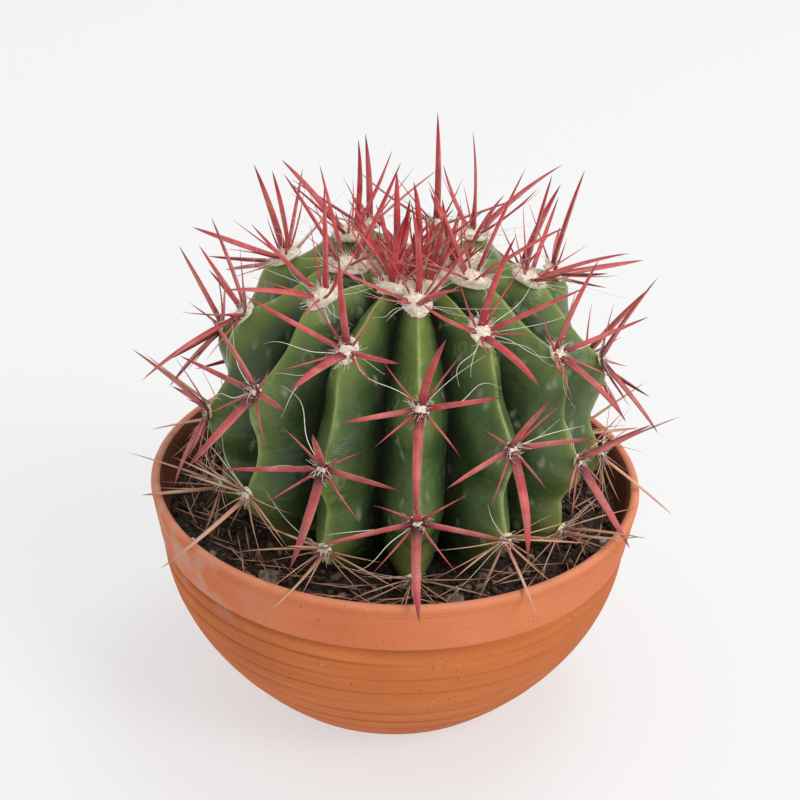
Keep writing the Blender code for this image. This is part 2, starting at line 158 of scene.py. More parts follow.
def wall_radius(height):
    """The inside of the bowl, from its floor up to the lip."""
    shoulder = SHOULDER_RADIUS - WALL
    if height >= COLLAR_EDGE:
        rise = (height - COLLAR_EDGE) / COLLAR_HEIGHT
        return shoulder + (RIM_RADIUS - LIP_THICKNESS - shoulder) * rise
    bottom = belly_radius(FLOOR_THICKNESS) - 2 * WALL
    left = 1.0 - (height - FLOOR_THICKNESS) / (COLLAR_EDGE - FLOOR_THICKNESS)
    return shoulder - (shoulder - bottom) * left**2


def bowl_profile():
    """(radius, height) from the middle of the bowl's floor, over the lip and down to its foot."""
    steps = 36
    yield 0.0, FLOOR_THICKNESS
    for step in range(steps + 1):
        height = FLOOR_THICKNESS + (BOWL_HEIGHT - LIP_THICKNESS / 2 - FLOOR_THICKNESS) * step / steps
        yield wall_radius(height), height
    lip = LIP_THICKNESS / 2
    for step in range(1, 12):
        angle = math.pi * (1.0 - step / 12)
        yield RIM_RADIUS - lip + lip * math.cos(angle), BOWL_HEIGHT - lip + lip * math.sin(angle)
    for step in range(29):
        share = step / 28
        top, low = BOWL_HEIGHT - lip, COLLAR_EDGE + COLLAR_STEP
        yield RIM_RADIUS + (SHOULDER_RADIUS + COLLAR_STEP - RIM_RADIUS) * share, top + (low - top) * share
    for step in range(1, 6):
        angle = math.radians(18 * step)
        yield (
            SHOULDER_RADIUS + COLLAR_STEP * math.cos(angle),
            COLLAR_EDGE + COLLAR_STEP * (1.0 - math.sin(angle)),
        )
    yield SHOULDER_RADIUS - 0.0003, COLLAR_EDGE - COLLAR_STEP / 2
    for step in range(111):
        height = COLLAR_EDGE - COLLAR_STEP + (FOOT_HEIGHT - COLLAR_EDGE + COLLAR_STEP) * step / 110
        yield belly_radius(height), height
    yield belly_radius(FOOT_HEIGHT) - FOOT_NOTCH, FOOT_HEIGHT - 0.0003
    yield FOOT_RADIUS - FOOT_NOTCH / 3, FOOT_HEIGHT * 0.7
    yield FOOT_RADIUS, FOOT_HEIGHT * 0.4
    yield FOOT_RADIUS - FOOT_NOTCH / 3, 0.0006
    yield FOOT_RADIUS - FOOT_NOTCH, 0.0
    yield 0.0, 0.0


def thrown_relief(point):
    """How deep the potter's grooves are at a point on the outside of the bowl."""
    turn = Vector((point.x, point.y, 0.0)) * 16.0
    deepest = 0.75 - 0.55 * point.x / RIM_RADIUS  # the grooves are deeper towards -X, and so is the painted shade in them
    wander = GROOVE_WANDER * noise.noise(turn + Vector((0.0, 0.0, 7.0)))
    depth = 0.0
    for number, height in enumerate(GROOVE_HEIGHTS):
        away = (point.z - height - wander) / GROOVE_WIDTH
        if abs(away) < 4.0:
            uneven = 0.75 + 0.9 * noise.noise(turn + Vector((0.0, 0.0, 3.0 * number)))
            hollow = math.exp(-(away**2) if away > 0 else -((away / 1.7) ** 2))
            depth += GROOVE_DEPTH * deepest * max(uneven, 0.15) * hollow
    for height in LIP_LINES:
        depth += LIP_LINE_DEPTH * math.exp(-(((point.z - height - wander / 3) / LIP_LINE_WIDTH) ** 2))
    under_collar = (COLLAR_EDGE - COLLAR_STEP / 2 - point.z) / COLLAR_STEP
    if under_collar > 0.0:
        depth += UNDERCUT * deepest * math.exp(-((under_collar / 2.2) ** 2))
    depth += 0.00012 * noise.noise(Vector((point.x * 9, point.y * 9, point.z * 260)))
    return depth


bowl_shape = bmesh.new()
damp_and_shade_layer = bowl_shape.verts.layers.float.new("inside")
grooved = bowl_shape.verts.layers.float.new("groove")
clay_points = []
for radius, height in bowl_profile():
    clay_points.append(bowl_shape.verts.new((radius, 0.0, height)))
for first, second in zip(clay_points, clay_points[1:]):
    bowl_shape.edges.new((first, second))
bmesh.ops.spin(
    bowl_shape,
    geom=bowl_shape.verts[:] + bowl_shape.edges[:],
    axis=(0.0, 0.0, 1.0),
    cent=(0.0, 0.0, 0.0),
    angle=math.tau,
    steps=BOWL_STEPS,
    use_merge=True,
)
bmesh.ops.remove_doubles(bowl_shape, verts=bowl_shape.verts, dist=0.00001)
bmesh.ops.recalc_face_normals(bowl_shape, faces=bowl_shape.faces)
for vertex in bowl_shape.verts:
    radius = vertex.co.xy.length
    height = vertex.co.z
    inner = height > FLOOR_THICKNESS - 0.0001 and radius < wall_radius(height) + 0.0008
    vertex[damp_and_shade_layer] = 1.0 if inner else 0.0
    if not inner and radius > FOOT_RADIUS and height > FOOT_HEIGHT:
        depth = thrown_relief(vertex.co)
        # how deep the relief is here, which the clay's colour uses to paint shade into it
        vertex[grooved] = min(max(depth / GROOVE_DEPTH, 0.0), 1.0)
        vertex.co.xy *= 1.0 - depth / radius


def piece_from(shape, name, material):
    """Makes a finished shape a smooth object at the origin."""
    mesh = bpy.data.meshes.new(name)
    shape.to_mesh(mesh)
    shape.free()
    mesh.shade_smooth()
    mesh.materials.append(material)
    piece = bpy.data.objects.new(name, mesh)
    bpy.context.collection.objects.link(piece)
    return piece


def start_material(name, roughness):
    material = bpy.data.materials.new(name)
    material.use_nodes = True
    shader = material.node_tree.nodes["Principled BSDF"]
    shader.inputs["Roughness"].default_value = roughness
    return material, material.node_tree, shader


def put(tree, kind, **values):
    """Adds a shader node with the given input values."""
    node = tree.nodes.new("ShaderNode" + kind)
    for socket, value in values.items():
        node.inputs[socket].default_value = value
    return node


def object_place(tree, scale=(1.0, 1.0, 1.0)):
    """The place on the piece, stretched by a scale."""
    mapping = put(tree, "Mapping", Scale=scale)
    tree.links.new(tree.nodes.new("ShaderNodeTexCoord").outputs["Object"], mapping.inputs["Vector"])
    return mapping.outputs["Vector"]


def grain(tree, place, scale, detail=3.0):
    """Soft random variation, from 0 to 1."""
    texture = put(tree, "TexNoise", Scale=scale, Detail=detail)
    tree.links.new(place, texture.inputs["Vector"])
    return texture.outputs["Fac"]


def shades(tree, amount, stops):
    """Colours laid out along an amount from 0 to 1."""
    ramp = tree.nodes.new("ShaderNodeValToRGB")
    for number, (position, colour) in enumerate(stops):
        stop = ramp.color_ramp.elements[number] if number < 2 else ramp.color_ramp.elements.new(position)
        stop.position = position
        stop.color = (*colour, 1.0)
    tree.links.new(amount, ramp.inputs["Fac"])
    return ramp.outputs["Color"]


def between(tree, value, low, high):
    """0 below the low value, 1 above the high one, and smooth between them."""
    spread = put(tree, "MapRange")
    spread.interpolation_type = "SMOOTHSTEP"
    spread.inputs["From Min"].default_value = low
    spread.inputs["From Max"].default_value = high
    tree.links.new(value, spread.inputs["Value"])
    return spread.outputs["Result"]


def product(tree, first, second):
    times = put(tree, "Math")
    times.operation = "MULTIPLY"
    for socket, value in zip(times.inputs, (first, second)):
        if isinstance(value, float):
            socket.default_value = value
        else:
            tree.links.new(value, socket)
    return times.outputs["Value"]


def mixed(tree, amount, first, second, kind="MIX"):
    """One colour laid over another by an amount."""
    mix = tree.nodes.new("ShaderNodeMix")
    mix.data_type = "RGBA"
    mix.blend_type = kind
    for socket, value in ((mix.inputs[0], amount), (mix.inputs[6], first), (mix.inputs[7], second)):
        if isinstance(value, float):
            socket.default_value = value
        elif isinstance(value, tuple):
            socket.default_value = (*value, 1.0)
        else:
            tree.links.new(value, socket)
    return mix.outputs[2]


def attribute(tree, name):
    reader = tree.nodes.new("ShaderNodeAttribute")
    reader.attribute_name = name
    return reader.outputs["Fac"]


def roughened(tree, shader, height, strength, distance, below=None):
    """Raises the surface by a height pattern, on top of a pattern below it."""
    bump = put(tree, "Bump", Strength=strength, Distance=distance)
    tree.links.new(height, bump.inputs["Height"])
    if below:
        tree.links.new(below, bump.inputs["Normal"])
    tree.links.new(bump.outputs["Normal"], shader.inputs["Normal"])
    return bump.outputs["Normal"]


clay, tree, shader = start_material("fired_clay", 0.82)
shader.inputs["Specular IOR Level"].default_value = 0.15
place = object_place(tree)
LIGHT_DUST, PALE_GRIT, DARK_GRIT = (0.55, 0.40, 0.33), (0.70, 0.42, 0.28), (0.22, 0.07, 0.035)
streaks = grain(tree, object_place(tree, (1.0, 1.0, 14.0)), 9.0, 6.0)
colour = shades(tree, streaks, [(0.32, (0.52, 0.142, 0.040)), (0.68, (0.64, 0.200, 0.062))])
blotches = between(tree, grain(tree, place, 17.0, 4.0), 0.45, 0.70)
colour = mixed(tree, product(tree, blotches, 0.40), colour, (0.42, 0.115, 0.044))
sides = put(tree, "SeparateXYZ")
tree.links.new(place, sides.inputs["Vector"])
collar_colours = [(0.3, (0.61, 0.178, 0.072)), (0.7, (0.69, 0.222, 0.098))]
collar_colour = shades(tree, grain(tree, place, 22.0, 4.0), collar_colours)
collar = between(tree, sides.outputs["Z"], COLLAR_EDGE - COLLAR_STEP, COLLAR_EDGE)
colour = mixed(tree, collar, colour, collar_colour)
grit = grain(tree, place, 900.0, 2.0)
grit_shades = shades(tree, grit, [(0.3, (0.30, 0.26, 0.24)), (0.7, (0.72, 0.70, 0.68))])
colour = mixed(tree, 0.10, colour, grit_shades, "OVERLAY")
specks = between(tree, grain(tree, place, 520.0, 0.0), 0.80, 0.84)
colour = mixed(tree, product(tree, specks, 0.35), colour, PALE_GRIT)
dark_specks = between(tree, grain(tree, object_place(tree, (1.3, 1.1, 0.9)), 380.0, 0.0), 0.80, 0.84)
colour = mixed(tree, product(tree, dark_specks, 0.6), colour, DARK_GRIT)
# Painted shade in the grooves, under the collar's step and in the lines below the lip, darker where they are
# deeper.
colour = mixed(tree, product(tree, attribute(tree, "groove"), 0.55), colour, (0.24, 0.062, 0.024))
crust_side = between(tree, sides.outputs["X"], -0.045, -0.108)
crust = product(tree, crust_side, between(tree, sides.outputs["Z"], 0.080, 0.094))
crust = product(tree, crust, between(tree, grain(tree, place, 60.0, 6.0), 0.38, 0.62))
colour = mixed(tree, product(tree, crust, 0.5), colour, LIGHT_DUST)
# The lip is paler over its top 2.5 mm: partly a painted highlight along the rounded lip, partly wear.
lip_highlight_and_wear = product(tree, between(tree, sides.outputs["Z"], BOWL_HEIGHT - 0.0025, BOWL_HEIGHT - 0.0002), 0.25)
colour = mixed(tree, lip_highlight_and_wear, colour, (0.70, 0.38, 0.28))
# Painted shade on the inside wall, over clay that is darker with damp.
inside = attribute(tree, "inside")
damp_and_shade_colours = [(0.35, (0.085, 0.028, 0.016)), (0.70, (0.25, 0.085, 0.045))]
damp_and_shade_colour = shades(tree, grain(tree, place, 30.0, 5.0), damp_and_shade_colours)
colour = mixed(tree, inside, colour, damp_and_shade_colour)
tree.links.new(colour, shader.inputs["Base Color"])
ridges = grain(tree, object_place(tree, (1.0, 1.0, 40.0)), 11.0, 3.0)
under = roughened(tree, shader, ridges, 0.22, 0.0004)
roughened(tree, shader, grit, 0.25, 0.0003, under)

bowl = piece_from(bowl_shape, "bowl", clay)
cutter_shape = bmesh.new()
for hole in range(DRAIN_HOLES):
    angle = math.tau * (hole + 0.5) / DRAIN_HOLES
    hole_place = Vector((math.cos(angle), math.sin(angle), 0.0)) * DRAIN_CIRCLE_RADIUS
    bmesh.ops.create_cone(
        cutter_shape,
        cap_ends=True,
        segments=40,
        radius1=DRAIN_HOLE_RADIUS,
        radius2=DRAIN_HOLE_RADIUS,
        depth=4 * FLOOR_THICKNESS,
        matrix=Matrix.Translation(hole_place),
    )
drill = piece_from(cutter_shape, "drill", clay)
drilling = bowl.modifiers.new("Drain holes", "BOOLEAN")
drilling.operation = "DIFFERENCE"
drilling.object = drill
bpy.context.view_layer.update()
drilled = bpy.data.meshes.new_from_object(bowl.evaluated_get(bpy.context.evaluated_depsgraph_get()))
bowl.modifiers.clear()
bowl.data = drilled
bowl.data.set_sharp_from_angle(angle=math.radians(40))
bpy.data.objects.remove(drill)
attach(bowl, "root")
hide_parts("terracotta_bowl")

# ---- soil ----
# Dark gritty potting mix fills the bowl to a finger's width below the lip. Loose crumbs of
# peat and grit lie on it, with three broken chips of bark and a few grains of perlite.

SOIL_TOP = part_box("potting_soil")[1].z
SOIL_GAP = 0.0009  # between the soil and the bowl
SOIL_HEAVE = 0.0016  # how uneven the top is
CRUMBS = 1500
CRUMB_SIZES = (0.0007, 0.0026)  # the smallest, and what the largest add to it

earth_shape = bmesh.new()
earth_points = []
soil_edge = wall_radius(SOIL_TOP) - SOIL_GAP
for step in range(60):
    earth_points.append((soil_edge * step / 59, SOIL_TOP - 0.001))
for step in range(1, 13):
    height = SOIL_TOP + (FLOOR_THICKNESS + 0.0003 - SOIL_TOP) * step / 12
    earth_points.append((wall_radius(height) - SOIL_GAP, height))
earth_points.append((0.0, FLOOR_THICKNESS + 0.0003))
earth_verts = [earth_shape.verts.new((radius, 0.0, height)) for radius, height in earth_points]
for first, second in zip(earth_verts, earth_verts[1:]):
    earth_shape.edges.new((first, second))
bmesh.ops.spin(
    earth_shape,
    geom=earth_shape.verts[:] + earth_shape.edges[:],
    axis=(0.0, 0.0, 1.0),
    cent=(0.0, 0.0, 0.0),
    angle=math.tau,
    steps=200,
    use_merge=True,
)
bmesh.ops.remove_doubles(earth_shape, verts=earth_shape.verts, dist=0.00001)
bmesh.ops.recalc_face_normals(earth_shape, faces=earth_shape.faces)
for vertex in earth_shape.verts:
    if vertex.co.z > SOIL_TOP - 0.002:
        rough = noise.noise(vertex.co * 90.0) + 0.6 * noise.noise(vertex.co * 260.0)
        vertex.co.z += SOIL_HEAVE * (rough - 0.1)

peat, tree, shader = start_material("potting_mix", 0.93)
place = object_place(tree)
crumbly = grain(tree, place, 420.0, 6.0)
peat_colours = [(0.35, (0.014, 0.009, 0.007)), (0.55, (0.050, 0.030, 0.020)), (0.75, (0.16, 0.105, 0.065))]
colour = shades(tree, crumbly, peat_colours)
tree.links.new(colour, shader.inputs["Base Color"])
roughened(tree, shader, crumbly, 0.9, 0.0012)
soil = piece_from(earth_shape, "soil", peat)
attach(soil, "root")
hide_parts("potting_soil")

crumb_mould = bmesh.new()
bmesh.ops.create_icosphere(crumb_mould, subdivisions=1, radius=1.0)
crumb_mesh = bpy.data.meshes.new("crumb")
crumb_mould.to_mesh(crumb_mesh)
crumb_mould.free()
crumb_shape = bmesh.new()
tone = crumb_shape.verts.layers.float.new("tone")
chance = random.Random(5)
for _ in range(CRUMBS):
    angle = chance.uniform(0.0, math.tau)
    radius = soil_edge * math.sqrt(chance.uniform(0.40, 0.985))
    size = CRUMB_SIZES[0] + CRUMB_SIZES[1] * chance.random() ** 3
    middle = Vector((radius * math.cos(angle), radius * math.sin(angle), SOIL_TOP + size * 0.1))
    turn = Matrix.Rotation(chance.uniform(0.0, math.tau), 3, Vector((chance.random(), chance.random(), 1.0)))
    shade = chance.random()
    first = len(crumb_shape.verts)
    crumb_shape.from_mesh(crumb_mesh)
    for vertex in crumb_shape.verts[first:]:
        lump = Vector((1.0, 0.8, 0.6)) * chance.uniform(0.75, 1.2)
        vertex.co = middle + turn @ Vector(a * b * size for a, b in zip(vertex.co, lump))
        vertex[tone] = shade

crumb_earth, tree, shader = start_material("loose_crumbs", 0.9)
colour = shades(
    tree,
    attribute(tree, "tone"),
    [
        (0.0, (0.012, 0.008, 0.006)),
        (0.62, (0.060, 0.036, 0.024)),
        (0.86, (0.15, 0.095, 0.06)),
        (1.0, (0.34, 0.25, 0.17)),
    ],
)
dust_shades = [(0.3, (0.2, 0.2, 0.2)), (0.7, (0.8, 0.8, 0.8))]
dust = shades(tree, grain(tree, object_place(tree), 600.0, 4.0), dust_shades)
colour = mixed(tree, 0.5, colour, dust, "OVERLAY")
tree.links.new(colour, shader.inputs["Base Color"])
crumbs = piece_from(crumb_shape, "soil_crumbs", crumb_earth)
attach(crumbs, "root")

bark, tree, shader = start_material("bark", 0.9)
fibres = grain(tree, object_place(tree, (1.0, 0.35, 1.0)), 420.0, 6.0)
colour = shades(tree, fibres, [(0.3, (0.055, 0.035, 0.024)), (0.7, (0.34, 0.25, 0.18))])
tree.links.new(colour, shader.inputs["Base Color"])
roughened(tree, shader, fibres, 0.8, 0.0010)
perlite, tree, shader = start_material("perlite", 0.95)
pores = grain(tree, object_place(tree), 1100.0, 5.0)
colour = shades(tree, pores, [(0.3, (0.48, 0.45, 0.40)), (0.6, (0.84, 0.82, 0.78))])
tree.links.new(colour, shader.inputs["Base Color"])
roughened(tree, shader, pores, 0.8, 0.0006)

for node in sorted(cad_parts):
    if not node.startswith(("bark_chip", "perlite_grain")):
        continue
    low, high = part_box(node)
    lump_shape = bmesh.new()
    bmesh.ops.create_icosphere(lump_shape, subdivisions=4, radius=0.5)
    middle, extent = (low + high) / 2, high - low
    for vertex in lump_shape.verts:
        crag = vertex.co * 3.0 + middle * 300.0
        broken = 1.0 + 0.25 * noise.noise(crag) + 0.12 * noise.noise(crag * 3.1)
        squared = Vector(math.copysign(abs(2 * value) ** 0.7, value) / 2 for value in vertex.co)
        vertex.co = middle + Vector(a * b * broken * 0.93 for a, b in zip(squared, extent))
        vertex.co.z = max(vertex.co.z, low.z - 0.0005)
    chip = piece_from(lump_shape, node + "_broken", bark if node.startswith("bark") else perlite)
    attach(chip, "root")
    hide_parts(node)

# ---- stem ----
# A round barrel with thirteen sharp ribs. The waxy skin has a painted highlight along the crests and painted
# shade, nearly black, down in the valleys, and swells into a chin under each cushion of spines.

RIBS = 13
STEM_RADIUS = 0.096
STEM_HEIGHT = 0.138
WAIST_HEIGHT = 0.056
STEM_BURIED = 0.024
STEM_SQUARENESS = 2.5
STEM_OFFSET_X = 0.004
RIB_DEPTH = 0.0285
RIB_MERIDIANS = 24  # steps from one valley to the next
SKIN_RINGS = 120
CROWN_DIP = 0.013
CROWN_DIP_RADIUS = 0.025
CHIN_HEIGHT = 0.0035
CHIN_LENGTH = 0.015
CREST_KEEL = 0.0007  # the crest's own narrow edge
CHIN_BULGE = 2.6  # the living chins stand out more than the plain solid's
SKIN_WAVES = 0.0014  # how uneven the skin is everywhere
VALLEY_WAVES = 0.0032  # and how much more so down in the valleys
FIRST_RIB_DEGREES = 4.0
FRONT_CROWDING_DEGREES = 3.2
AREOLE_SPACING = 0.054
FIRST_AREOLE = 0.046
AREOLE_TURN = 0.41
CROWN_ZONE = 0.033
OLD_ZONE = 0.160
OLD_CROWDING = 0.65
LOWEST_AREOLE = 0.010
SPINE_SETTLES = 0.110


def rib_angle(rib):
    """Direction of a rib's crest, in radians from the front (-Y) towards +X."""
    turn = math.tau * rib / RIBS
    return math.radians(FIRST_RIB_DEGREES) + turn - math.radians(FRONT_CROWDING_DEGREES) * math.sin(turn)


def crest_point(polar):
    """(radius, height) on a crest, from the growing point (polar 0) to the buried base (polar pi)."""
    power = 2.0 / STEM_SQUARENESS
    waist = SOIL_TOP + WAIST_HEIGHT
    side = math.cos(polar)
    reach = SOIL_TOP + STEM_HEIGHT - waist if side > 0 else WAIST_HEIGHT + STEM_BURIED
    radius = STEM_RADIUS * abs(math.sin(polar)) ** power
    height = waist + reach * math.copysign(abs(side) ** power, side)
    if side > 0:
        height -= CROWN_DIP * math.exp(-((radius / CROWN_DIP_RADIUS) ** 2))
    return radius, height


CREST_POLARS = [math.pi * step / 720 for step in range(721)]
CREST_DISTANCES = [0.0]
for before, after in zip(CREST_POLARS, CREST_POLARS[1:]):
    stride = (Vector(crest_point(after)) - Vector(crest_point(before))).length
    CREST_DISTANCES.append(CREST_DISTANCES[-1] + stride)


def read_off(value, given, wanted):
    """Reads one list off against another at a value between two entries."""
    index = min(max(bisect.bisect_right(given, value), 1), len(given) - 1)
    share = (value - given[index - 1]) / (given[index] - given[index - 1])
    return wanted[index - 1] + (wanted[index] - wanted[index - 1]) * share


def crest_normal(polar):
    before = Vector(crest_point(max(polar - 0.01, 0.0)))
    along = (Vector(crest_point(min(polar + 0.01, math.pi))) - before).normalized()
    return Vector((-along.y, along.x))


def on_stem(turn, distance, out):
    """The point at a rib number and a distance down its crest, moved out of the skin."""
    polar = read_off(distance, CREST_DISTANCES, CREST_POLARS)
    radius, height = Vector(crest_point(polar)) + crest_normal(polar) * out
    side = rib_angle(turn)
    return Vector((STEM_OFFSET_X + radius * math.sin(side), -radius * math.cos(side), height))


def areole_distances(rib):
    """How far down a rib's crest its cushions are, every one from the growing point to the soil."""
    distance = (FIRST_AREOLE + AREOLE_TURN * AREOLE_SPACING * rib) % AREOLE_SPACING
    found = []
    while True:
        crowded = min(distance, OLD_ZONE + (distance - OLD_ZONE) * OLD_CROWDING)
        if crest_point(read_off(crowded, CREST_DISTANCES, CREST_POLARS))[1] < SOIL_TOP + LOWEST_AREOLE:
            return found
        found.append(crowded)
        distance += AREOLE_SPACING


def chin(distance, areoles):
    swell = 0.0
    for areole in areoles:
        if areole > CROWN_ZONE:
            swell = max(swell, math.exp(-(((distance - areole - CHIN_LENGTH / 3) / CHIN_LENGTH) ** 2)))
    return CHIN_HEIGHT * (swell - 0.5) * CHIN_BULGE


AREOLES = {rib: areole_distances(rib) for rib in range(-(RIBS // 2), RIBS - RIBS // 2)}
stem_shape = bmesh.new()
bmesh.ops.create_uvsphere(stem_shape, u_segments=RIBS * RIB_MERIDIANS, v_segments=SKIN_RINGS, radius=1.0)
valley = stem_shape.verts.layers.float.new("valley")
wear = stem_shape.verts.layers.float.new("age")
chin_highlight = stem_shape.verts.layers.float.new("chin_highlight")
for vertex in stem_shape.verts:
    polar = math.acos(max(-1.0, min(1.0, vertex.co.z)))
    turn = math.atan2(vertex.co.y, vertex.co.x) / math.tau * RIBS
    aside = 2.0 * abs(turn - round(turn))
    rib = (round(turn) + RIBS // 2) % RIBS - RIBS // 2
    distance = read_off(polar, CREST_POLARS, CREST_DISTANCES)
    thickness = crest_point(polar)[0] / STEM_RADIUS
    swelling = chin(distance, AREOLES[rib])
    crest = swelling * (1.0 - aside) ** 1.2 + CREST_KEEL * math.exp(-((aside / 0.09) ** 2))
    fullness = swelling / CHIN_HEIGHT / CHIN_BULGE
    flank = RIB_DEPTH * (0.78 * aside ** (1.15 + 0.5 * fullness) + 0.22 * aside**4)
    vertex.co = on_stem(turn, distance, (crest - flank) * thickness**0.8)
    uneven = SKIN_WAVES * noise.noise(vertex.co * 75.0)
    uneven += VALLEY_WAVES * aside * noise.noise(vertex.co * 34.0)
    vertex.co += Vector((vertex.co.x - STEM_OFFSET_X, vertex.co.y, 0.0)).normalized() * uneven
    vertex[chin_highlight] = min(max(2.0 * fullness, 0.0), 1.0) * (1.0 - aside) ** 3
    vertex[valley] = aside
    vertex[wear] = min(distance / 0.2, 1.0)
bmesh.ops.recalc_face_normals(stem_shape, faces=stem_shape.faces)

skin, tree, shader = start_material("waxy_skin", 0.36)
shader.inputs["Specular IOR Level"].default_value = 0.40
place = object_place(tree)
aside = attribute(tree, "valley")
# From crest to valley: a painted highlight on the crest, the skin's own green on the flanks, and painted
# shade turning nearly black in the valleys.
colour = shades(
    tree,
    aside,
    [
        (0.0, (0.290, 0.340, 0.110)),
        (0.06, (0.118, 0.170, 0.042)),
        (0.17, (0.068, 0.114, 0.030)),
        (0.62, (0.045, 0.082, 0.027)),
        (0.88, (0.022, 0.033, 0.011)),
        (1.0, (0.006, 0.009, 0.003)),
    ],
)
mottle = shades(tree, grain(tree, place, 42.0, 8.0), [(0.34, (0.20, 0.26, 0.24)), (0.66, (0.76, 0.72, 0.68))])
colour = mixed(tree, 0.85, colour, mottle, "OVERLAY")
# Painted yellow-green highlight on the chins, strongest near the crests.
colour = mixed(tree, product(tree, attribute(tree, "chin_highlight"), 0.55), colour, (0.27, 0.33, 0.070))
fresh = product(tree, between(tree, attribute(tree, "age"), 0.62, 0.20), between(tree, aside, 0.70, 0.05))
colour = mixed(tree, product(tree, fresh, 0.6), colour, (0.230, 0.320, 0.065))
low_skin = product(tree, between(tree, attribute(tree, "age"), 0.80, 0.97), between(tree, aside, 0.55, 0.05))
colour = mixed(tree, product(tree, low_skin, 0.8), colour, (0.25, 0.25, 0.075))
scars = between(tree, grain(tree, object_place(tree, (1.0, 1.0, 0.5)), 150.0, 3.0), 0.62, 0.72)
scars = product(tree, scars, between(tree, grain(tree, place, 22.0, 2.0), 0.48, 0.58))
colour = mixed(tree, product(tree, scars, 0.55), colour, (0.34, 0.36, 0.24))
drops = tree.nodes.new("ShaderNodeTexVoronoi")
drops.inputs["Scale"].default_value = 95.0
tree.links.new(object_place(tree, (1.0, 1.0, 0.6)), drops.inputs["Vector"])
ring = between(tree, drops.outputs["Distance"], 0.12, 0.20)
ring = product(tree, ring, between(tree, drops.outputs["Distance"], 0.32, 0.22))
ring = product(tree, ring, between(tree, grain(tree, place, 40.0, 1.0), 0.55, 0.66))
colour = mixed(tree, product(tree, ring, 0.22), colour, (0.33, 0.38, 0.27))
spots = tree.nodes.new("ShaderNodeTexVoronoi")
spots.inputs["Scale"].default_value = 130.0
tree.links.new(object_place(tree, (1.0, 1.2, 0.5)), spots.inputs["Vector"])
smudge = between(tree, spots.outputs["Distance"], 0.34, 0.10)
smudge = product(tree, smudge, between(tree, grain(tree, place, 60.0, 2.0), 0.48, 0.58))
colour = mixed(tree, product(tree, smudge, 0.50), colour, (0.33, 0.38, 0.28))
pores = grain(tree, place, 1500.0, 1.0)
tree.links.new(colour, shader.inputs["Base Color"])
gloss = mixed(tree, between(tree, aside, 0.72, 0.95), (0.34, 0.34, 0.34), (0.95, 0.95, 0.95))
tree.links.new(gloss, shader.inputs["Roughness"])
creases = grain(tree, object_place(tree, (1.0, 1.0, 1.6)), 75.0, 5.0)
under = roughened(tree, shader, creases, 0.60, 0.0030)
roughened(tree, shader, pores, 0.25, 0.0002, under)
stem = piece_from(stem_shape, "stem", skin)
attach(stem, "root")
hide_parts("cactus_stem")
stem_tree = BVHTree.FromObject(stem, bpy.context.evaluated_depsgraph_get())

# ---- cushions of spines ----
# Each areole is a small cushion of cream felt on a crest. Four flat ringed central spines
# stand out of it in a cross, thin radials between them, and white bristles lie on the skin.

CENTRAL_RINGS = 90
SLIM_RINGS = 16
FIBRE_RINGS = 5
RING_PITCH = 0.001
CENTRAL_LENGTH = 0.044
YOUNG_EXTRA = 0.009  # how much longer the centrals near the crown are
NEWBORN_LENGTH = 0.030
NEWBORN_EXTRA = 0.014  # what the crown's spines gain from its middle to its edge
OLD_STOUTNESS = 0.48
FELT_SIZE = (0.0038, 0.0036, 0.0020)  # half its length, half its width, and its height
FELT_YOUNG_EXTRA = (0.0080, 0.0036, 0.0024)
SPINE_TRIES = 60
SWING_DEGREES = 5.0  # each step of a blocked spine towards its way of escape
SWUNG_DEGREES = 7.0  # how near that way it comes before it is made shorter
SHORTENING = 0.82


def rod(sides, rings):
    """A straight rod one unit long and one unit in radius, from which spines are drawn out."""
    shape = bmesh.new()
    bmesh.ops.create_cone(
        shape,
        cap_ends=True,
        segments=sides,
        radius1=1.0,
        radius2=1.0,
        depth=1.0,
        matrix=Matrix.Translation((0.0, 0.0, 0.5)),
    )
    lengths = [edge for edge in shape.edges if abs(edge.verts[0].co.z - edge.verts[1].co.z) > 0.5]
    bmesh.ops.subdivide_edges(shape, edges=lengths, cuts=rings - 1)
    mesh = bpy.data.meshes.new("rod")
    shape.to_mesh(mesh)
    shape.free()
    return mesh


RINGED_ROD = rod(6, CENTRAL_RINGS)
SLIM_ROD = rod(5, SLIM_RINGS)
THREAD_ROD = rod(4, SLIM_RINGS)
FIBRE_ROD = rod(3, FIBRE_RINGS)
dome_shape = bmesh.new()
bmesh.ops.create_uvsphere(dome_shape, u_segments=20, v_segments=14, radius=1.0)
DOME = bpy.data.meshes.new("dome")
dome_shape.to_mesh(DOME)
dome_shape.free()


def new_spiny_shape():
    shape = bmesh.new()
    for name in ("share", "reach", "edge", "age"):
        shape.verts.layers.float.new(name)
    return shape


def draw_out(shape, mould, rings, points, out, widths, flatness, age):
    """Lays a copy of a rod along points, its flat side facing out."""
    layers = shape.verts.layers.float
    share_layer, reach_layer, edge_layer, age_layer = (layers[n] for n in ("share", "reach", "edge", "age"))
    axes = []
    travelled = [0.0]
    for index, point in enumerate(points):
        tangent = (points[min(index + 1, rings)] - points[max(index - 1, 0)]).normalized()
        side = out.cross(tangent).normalized()
        axes.append((side, tangent.cross(side)))
        if index:
            travelled.append(travelled[-1] + (point - points[index - 1]).length)
    first = len(shape.verts)
    shape.from_mesh(mould)
    for vertex in shape.verts[first:]:
        x, y, share = vertex.co
        index = round(share * rings)
        side, up = axes[index]
        width = widths[index] / 2
        vertex.co = points[index] + side * (x * width) + up * (y * width * flatness)
        vertex[share_layer] = share
        vertex[reach_layer] = travelled[index] * 100.0
        vertex[edge_layer] = abs(x)
        vertex[age_layer] = age


